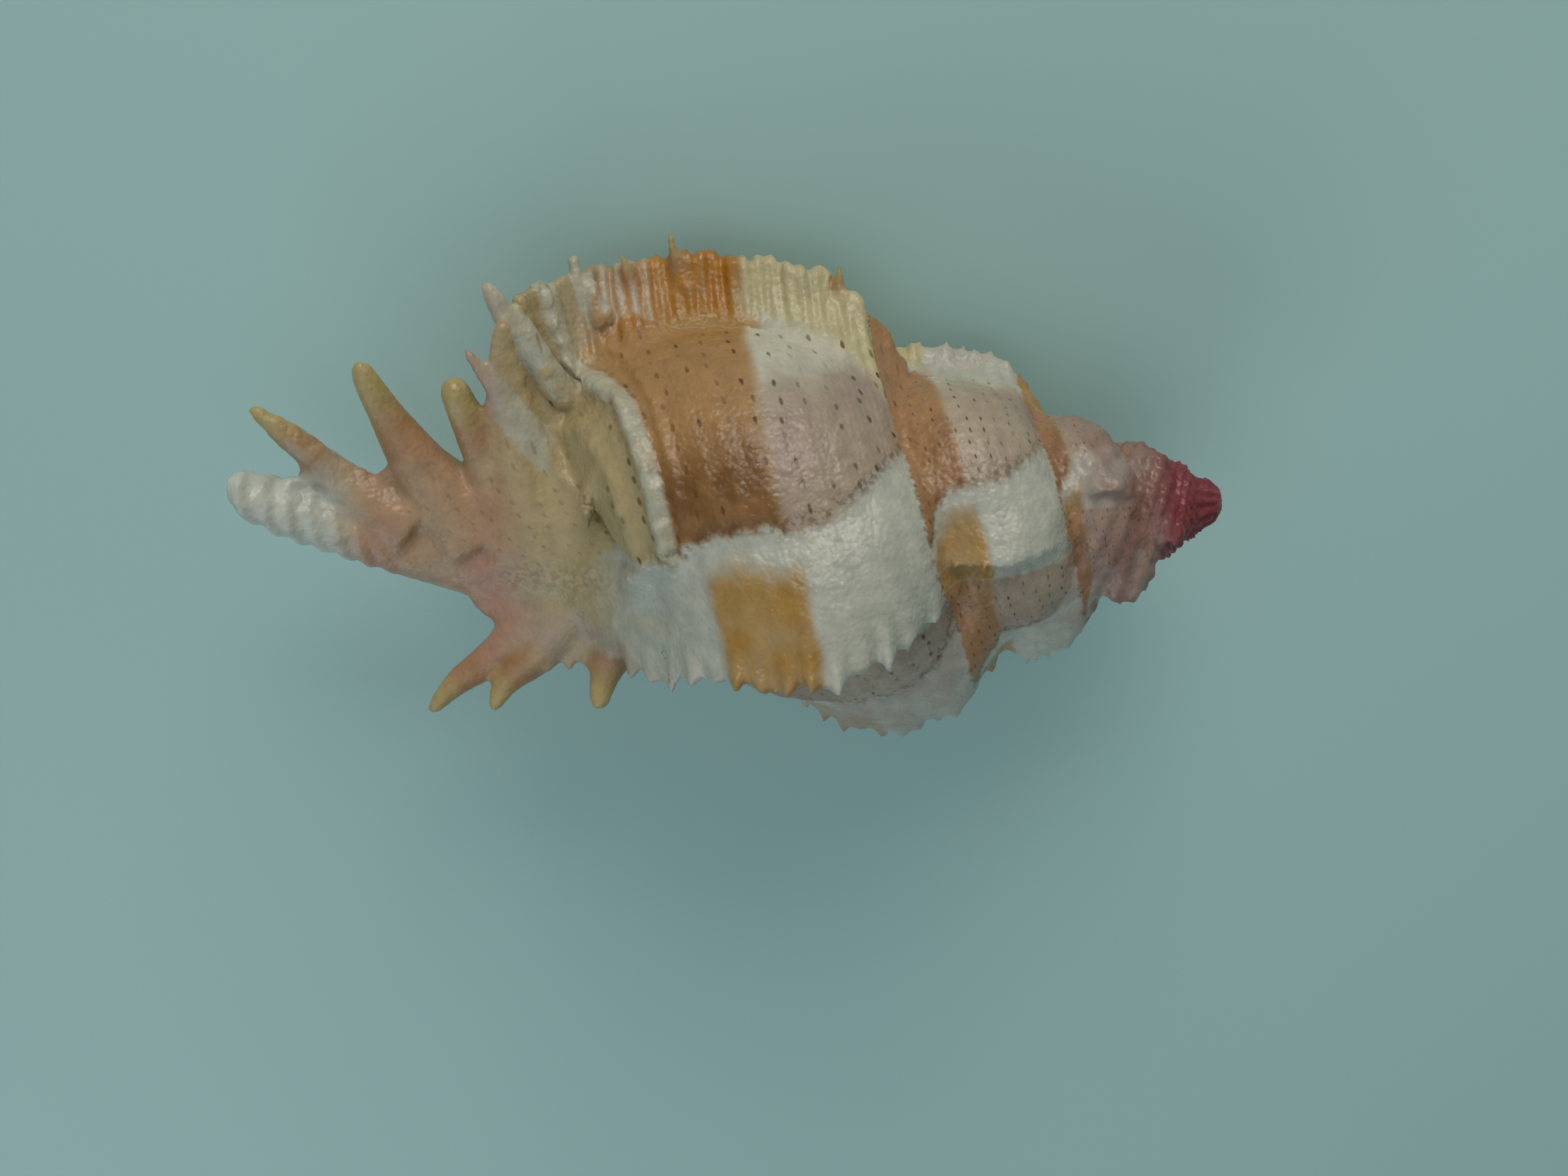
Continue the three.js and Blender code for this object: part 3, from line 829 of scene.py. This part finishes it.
def fan_ribs() -> list[Rib]:
    """The white ridge, and the lower ribs before it and beside it."""
    turn = (24.0, 39.0, 59.0, 80.0, 100.0, 112.0)
    return [
        Rib(turn, (22.1, 22.3, 22.8, 23.7, 25.6, 28.2), 0.6, 0.42),
        Rib(turn, (23.5, 23.7, 24.3, 25.5, 27.6, 29.6), 0.3, 0.36),
        Rib(turn, (24.8, 25.0, 25.8, 27.0, 28.8, 30.4), 0.26, 0.36),
        Rib(turn, (21.4, 21.5, 21.9, 22.6, 23.8, 25.2), 0.16, 0.2),
    ]


@dataclass
class MurexShell:
    """The shell, one natural piece."""

    coil: Coil = field(default_factory=Coil)
    varices: list[Varix] = field(default_factory=lambda: [lip_varix(), front_varix(), old_varix()])
    webs: list[Varix] = field(default_factory=canal_webs)
    spines: list[Spine] = field(default_factory=lambda: canal_spines() + lip_fronds())
    ribs: list[Rib] = field(default_factory=fan_ribs)
    mouth: Mouth = field(default_factory=Mouth)
    finish: ShellFinish = field(default_factory=ShellFinish)
    spire_rows: int = 3
    voxel: float = 0.14
    most_triangles: int = 196000
    cord_height: float = 0.05
    lip_rib_height: float = 0.14
    thread_height: float = 0.035
    smooth_rounds: int = 12
    grain_height: float = 0.03
    ring_height: float = 0.06
    knob_height: float = 0.1
    ring_start: Span = (33.5, 35.5)
    ring_pitch: float = 0.8
    knobs_round: float = 13.0
    soften_lift: Span = (-0.5, 1.6)
    smooth_factor: float = 0.5
    lip_back: float = 0.84
    lip_lift: float = 0.35
    lip_along: float = 12.0
    spine_skin: float = 0.22
    throat_depth: float = -0.45
    throat_back: float = 0.35
    throat_along: Span = (14.0, 28.0)
    row_slack: float = 0.02
    side_slack: float = 8.0
    far: float = 1000.0
    rest_roll: float = -75.4
    rest_pitch: float = -1.66
    rest_yaw: float = 180.0
    rest_shift: tuple[float, float, float] = (-20.0637, 0.1974, 6.6309)

    def build(self) -> bpy.types.Object:
        """Grows, fuses, sculpts and lays down the shell.

        Returns:
            The finished object.
        """
        rng = np.random.default_rng(SEED)
        bm = bmesh.new()
        self.coil.build(bm)
        for row in range(self.spire_rows + 1):
            for varix in self.varices:
                varix.build(bm, self.coil, row, self.finish.cords, rng)
        for web in self.webs:
            web.build(bm, self.coil, 0, self.finish.cords, rng)
        for spine in self.spines:
            spine.build(bm, self.coil)
        grown = self.as_object(bm, "murex_shell")
        self.apply(grown, "REMESH", mode="VOXEL", voxel_size=self.voxel)
        hollow = bmesh.new()
        self.mouth.build(hollow, self.coil)
        cutter = self.as_object(hollow, "mouth_cutter")
        self.apply(grown, "BOOLEAN", operation="DIFFERENCE", solver="FAST", object=cutter)
        bpy.data.objects.remove(cutter)
        self.apply(grown, "REMESH", mode="VOXEL", voxel_size=self.voxel)
        self.soften(grown.data)
        self.sculpt(grown.data)
        triangles = sum(len(face.vertices) - 2 for face in grown.data.polygons)
        if triangles > self.most_triangles:
            self.apply(grown, "DECIMATE", ratio=self.most_triangles / triangles)
        self.tint(grown.data, rng)
        self.lay_down(grown.data)
        return grown

    def as_object(self, bm: bmesh.types.BMesh, name: str) -> bpy.types.Object:
        """Makes an object of a mesh whose faces are turned outwards."""
        bmesh.ops.recalc_face_normals(bm, faces=bm.faces)
        mesh = bpy.data.meshes.new(name)
        bm.to_mesh(mesh)
        bm.free()
        piece = bpy.data.objects.new(name, mesh)
        bpy.context.scene.collection.objects.link(piece)
        return piece

    def apply(self, piece: bpy.types.Object, kind: str, **settings: object) -> None:
        """Runs one modifier on a piece and keeps the result as its mesh."""
        modifier = piece.modifiers.new(kind.lower(), kind)
        for name, value in settings.items():
            setattr(modifier, name, value)
        evaluated = piece.evaluated_get(bpy.context.evaluated_depsgraph_get())
        result = bpy.data.meshes.new_from_object(evaluated)
        piece.modifiers.clear()
        old = piece.data
        piece.data = result
        bpy.data.meshes.remove(old)
        result.name = piece.name

    def points(self, mesh: bpy.types.Mesh) -> Array:
        """The places of a mesh's points, one row each."""
        flat = np.empty(len(mesh.vertices) * 3)
        mesh.vertices.foreach_get("co", flat)
        return flat.reshape(-1, 3)

    def soften(self, mesh: bpy.types.Mesh) -> None:
        """Rounds the creases where wings and horns rise from the coil, and leaves the free edges."""
        lift = self.locate(self.points(mesh)).lift
        bm = bmesh.new()
        bm.from_mesh(mesh)
        least, most = self.soften_lift
        low = [vert for vert in bm.verts if least < lift[vert.index] < most]
        for _ in range(self.smooth_rounds):
            bmesh.ops.smooth_vert(bm, verts=low, factor=self.smooth_factor,
                                  use_axis_x=True, use_axis_y=True, use_axis_z=True)
        bm.to_mesh(mesh)
        bm.free()

    def locate(self, points: Array) -> Place:
        """Works out where points stand on the grown shell.

        Args:
            points: Points in the frame the shell grew in.

        Returns:
            Their places.
        """
        a = -points[:, 0]
        straight = points - self.coil.bend(a)
        rho = np.hypot(straight[:, 1], straight[:, 2])
        angle = np.degrees(np.arctan2(straight[:, 2], -straight[:, 1]))
        reach, grown, gap = self.coil.surface(a, angle)
        lift = rho - reach
        first = self.coil.back(angle)
        on_lip = (first > self.lip_back) & (lift > self.lip_lift) & (a > self.lip_along)
        grown = np.where(on_lip, first - 1.0, grown)
        near = {kind: np.zeros(len(points)) for kind in Kind}
        for spine in self.spines:
            share = np.linspace(0.0, 1.0, spine.steps)
            for part, centre, size in zip(share, spine.path(self.coil), spine.sizes()):
                close = np.linalg.norm(points - centre, axis=1) < size + self.spine_skin
                near[spine.kind] = np.where(close, np.maximum(near[spine.kind], part), near[spine.kind])
        top, bottom = self.throat_along
        inside = (lift < self.throat_depth) & (first < self.throat_back) & (a > top) & (a < bottom)
        return Place(points, a, angle, self.coil.spiral(a, grown), grown, lift, gap,
                     self.past_wings(a, angle, rho, grown), near[Kind.HORN],
                     smooth_step(near[Kind.FROND], 0.0, 0.3), self.ribs[0].profile(a, angle),
                     self.ribs[0].ahead(a, angle), inside.astype(float))

    def past_wings(self, a: Array, angle: Array, rho: Array,
                   grown: Array) -> Array:
        """How far points lie past the foot of the wing behind them, below nothing on its leading face.

        Args:
            a: Distances from the apex along the axis.
            angle: Angles round the axis, in degrees.
            rho: Distances from the axis.
            grown: Whorls back from the lip.

        Returns:
            The distances in mm.
        """
        row = np.clip(np.floor(grown + self.row_slack), 0, self.spire_rows).astype(int)
        nearest = np.full(len(a), self.far)
        past = np.zeros(len(a))
        for varix in self.varices:
            for back in range(self.spire_rows + 1):
                shrink_a = self.coil.ratio ** -back
                shrink = self.coil.ratio ** (-self.coil.radius_power * back)
                full = a / shrink_a
                side = angle - varix.place(full) - varix.row_turn[back] + self.side_slack
                side = np.mod(side, 360.0) - self.side_slack
                side = side * rho * math.pi / 180.0
                outline = np.maximum(varix.outline(full) * shrink, 0.0)
                foot = self.coil.surface(a, varix.place(full) + varix.row_turn[back])[0]
                rise = np.maximum(outline - foot, 0.0)
                lean = np.minimum(varix.lean_share * rise, varix.lean_most * shrink)
                closer = (row == back) & (side < nearest)
                nearest = np.where(closer, side, nearest)
                past = np.where(closer, side - lean - varix.reach(full) * shrink, past)
        return past

    def sculpt(self, mesh: bpy.types.Mesh) -> None:
        """Raises the cords, the lip's and the fan's ribs, the rings, the knobs and the grain."""
        points = self.points(mesh)
        normals = np.empty(len(points) * 3)
        mesh.vertex_normals.foreach_get("vector", normals)
        at = self.locate(points)
        turn = 2.0 * math.pi * at.spiral * self.finish.cords
        bead = 0.65 - 0.35 * np.cos(2.0 * math.pi * at.growth * self.finish.dots_round)
        size = np.clip(at.along / 14.0, 0.3, 1.0)
        face = fall(at.past, -0.3, 0.3)
        plain = fall(at.spiral, 0.84, 0.92) * fall(at.horn, 0.1, 0.3)
        lip = smooth_step(at.lift, 0.15, 1.0) * fall(at.growth, 0.06, 0.12) * plain
        raised = self.cord_height * (0.5 - 0.5 * np.cos(turn)) ** 1.4 * bead * plain
        raised += self.thread_height * (0.5 - 0.5 * np.cos(4.0 * turn)) * (1.0 - face) * plain
        raised += self.lip_rib_height * (0.5 - 0.5 * np.cos(2.0 * turn)) * lip
        raised *= size
        knob = 0.8 + 0.35 * cloud(points, 0.5)
        for rib in self.ribs:
            raised += rib.height * rib.profile(at.along, at.angle) * knob * fall(at.horn, 0.2, 0.5)
        rough = smooth_step(at.along, 34.0, 36.0) + fall(at.along, 3.0, 9.0)
        rings = self.ring_height * smooth_step(at.along, *self.ring_start)
        rings = rings * np.sin(2.0 * math.pi * at.along / self.ring_pitch)
        raised += rings * fall(at.horn, 0.05, 0.2)
        knobs = self.knob_height * fall(at.along, 4.0, 9.0)
        knobs = knobs * np.cos(2.0 * math.pi * self.knobs_round * at.growth)
        raised += knobs * np.sin(turn / 3.0)
        raised += self.grain_height * (cloud(points, 0.45) * (0.3 + 2.0 * rough) + 0.6 * cloud(points, 0.22))
        points += normals.reshape(-1, 3) * (raised * (1.0 - at.inside))[:, None]
        mesh.vertices.foreach_set("co", points.ravel())
        mesh.update()

    def tint(self, mesh: bpy.types.Mesh, rng: np.random.Generator) -> None:
        """Keeps the finish's coats and marks on the mesh."""
        at = self.locate(self.points(mesh))
        for each, values in {**self.finish.coats(at), **self.finish.marks(at, rng)}.items():
            layer = mesh.attributes.new(each.value, "FLOAT", "POINT")
            layer.data.foreach_set("value", values.astype(np.float32))

    def lay_down(self, mesh: bpy.types.Mesh) -> None:
        """Turns the shell to rest, in metres, with nothing below the floor."""
        turn = (Matrix.Rotation(math.radians(self.rest_yaw), 4, "Z")
                @ Matrix.Rotation(math.radians(self.rest_pitch), 4, "Y")
                @ Matrix.Rotation(math.radians(self.rest_roll), 4, "X"))
        mesh.transform(Matrix.Scale(MM, 4) @ Matrix.Translation(self.rest_shift) @ turn)
        bm = bmesh.new()
        bm.from_mesh(mesh)
        for vert in bm.verts:
            vert.co.z = max(vert.co.z, 0.0)
        for face in bm.faces:
            face.smooth = True
        bm.to_mesh(mesh)
        bm.free()

    def dress(self, piece: bpy.types.Object) -> None:
        """Gives the shell its finish and its place in the frame."""
        piece.data.materials.clear()
        piece.data.materials.append(self.finish.material())
        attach(piece, "root")
        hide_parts("shell")


@dataclass(frozen=True)
class Lamp:
    """A soft studio light: where it hangs, in mm, its width, its power and its colour."""

    name: str
    place: tuple[float, float, float]
    width: float
    power: float
    colour: str


@dataclass
class Studio:
    """The plain floor, the soft lights and the camera."""

    floor_colour: str = "#B4D6D3"
    floor_width: float = 900.0
    floor_roughness: float = 0.6
    target: tuple[float, float, float] = (0.0, 0.0, 6.0)
    lamps: tuple[Lamp, ...] = (
        Lamp("key", (-40.0, -230.0, 110.0), 150.0, 0.32, "#FFF8EE"),
        Lamp("top", (40.0, 20.0, 260.0), 240.0, 0.10, "#F2FAFF"),
        Lamp("fill", (120.0, 160.0, 120.0), 160.0, 0.11, "#EAF6FF"),
    )
    world_colour: str = "#B9D3D2"
    world_strength: float = 0.24
    camera_place: tuple[float, float, float] = (-5.309, -28.872, 75.453)
    camera_right: tuple[float, float, float] = (-0.99589, 0.08970, -0.01239)
    camera_up: tuple[float, float, float] = (-0.07632, -0.90511, -0.41828)
    lens: float = 41.07
    sensor: float = 36.0
    nearest: float = 1.0

    def build(self) -> None:
        """Sets up everything round the shell."""
        self.lay_floor()
        for lamp in self.lamps:
            self.hang(lamp)
        world = bpy.data.worlds.new("studio")
        world.use_nodes = True
        sky = world.node_tree.nodes["Background"]
        sky.inputs["Color"].default_value = linear(self.world_colour)
        sky.inputs["Strength"].default_value = self.world_strength
        bpy.context.scene.world = world
        bpy.context.scene.view_settings.view_transform = "Standard"
        self.stand_camera()

    def lay_floor(self) -> None:
        """Lays the pale floor."""
        bm = bmesh.new()
        bmesh.ops.create_grid(bm, x_segments=1, y_segments=1, size=self.floor_width * MM / 2.0)
        mesh = bpy.data.meshes.new("floor")
        bm.to_mesh(mesh)
        bm.free()
        floor = bpy.data.objects.new("floor", mesh)
        bpy.context.scene.collection.objects.link(floor)
        material = bpy.data.materials.new("matt_card")
        material.use_nodes = True
        shader = material.node_tree.nodes["Principled BSDF"]
        shader.inputs["Base Color"].default_value = linear(self.floor_colour)
        shader.inputs["Roughness"].default_value = self.floor_roughness
        mesh.materials.append(material)

    def hang(self, lamp: Lamp) -> None:
        """Hangs one square light, turned to the shell."""
        light = bpy.data.lights.new(lamp.name, "AREA")
        light.energy = lamp.power
        light.size = lamp.width * MM
        light.color = linear(lamp.colour)[:3]
        holder = bpy.data.objects.new(lamp.name, light)
        bpy.context.scene.collection.objects.link(holder)
        holder.location = Vector(lamp.place) * MM
        aim = Vector(self.target) * MM - holder.location
        holder.rotation_euler = aim.to_track_quat("-Z", "Y").to_euler()

    def stand_camera(self) -> None:
        """Stands the camera where the photograph's view puts it."""
        camera = bpy.data.cameras.new("camera")
        camera.lens = self.lens
        camera.sensor_width = self.sensor
        camera.clip_start = self.nearest * MM
        holder = bpy.data.objects.new("camera", camera)
        bpy.context.scene.collection.objects.link(holder)
        right = Vector(self.camera_right).normalized()
        up = (Vector(self.camera_up) - right * right.dot(Vector(self.camera_up))).normalized()
        turn = Matrix((right, up, right.cross(up))).transposed().to_4x4()
        holder.matrix_world = Matrix.Translation(Vector(self.camera_place) * MM) @ turn
        bpy.context.scene.camera = holder


def main() -> None:
    """Builds the shell and its studio, in order."""
    logging.basicConfig(level=logging.INFO, format="%(name)s: %(message)s")
    shell = MurexShell()
    piece = shell.build()
    shell.dress(piece)
    LOG.info("%s: %d points, %d faces", piece.name, len(piece.data.vertices), len(piece.data.polygons))
    Studio().build()
    LOG.info("studio: floor, lights and camera")


if __name__ == "__main__":
    main()
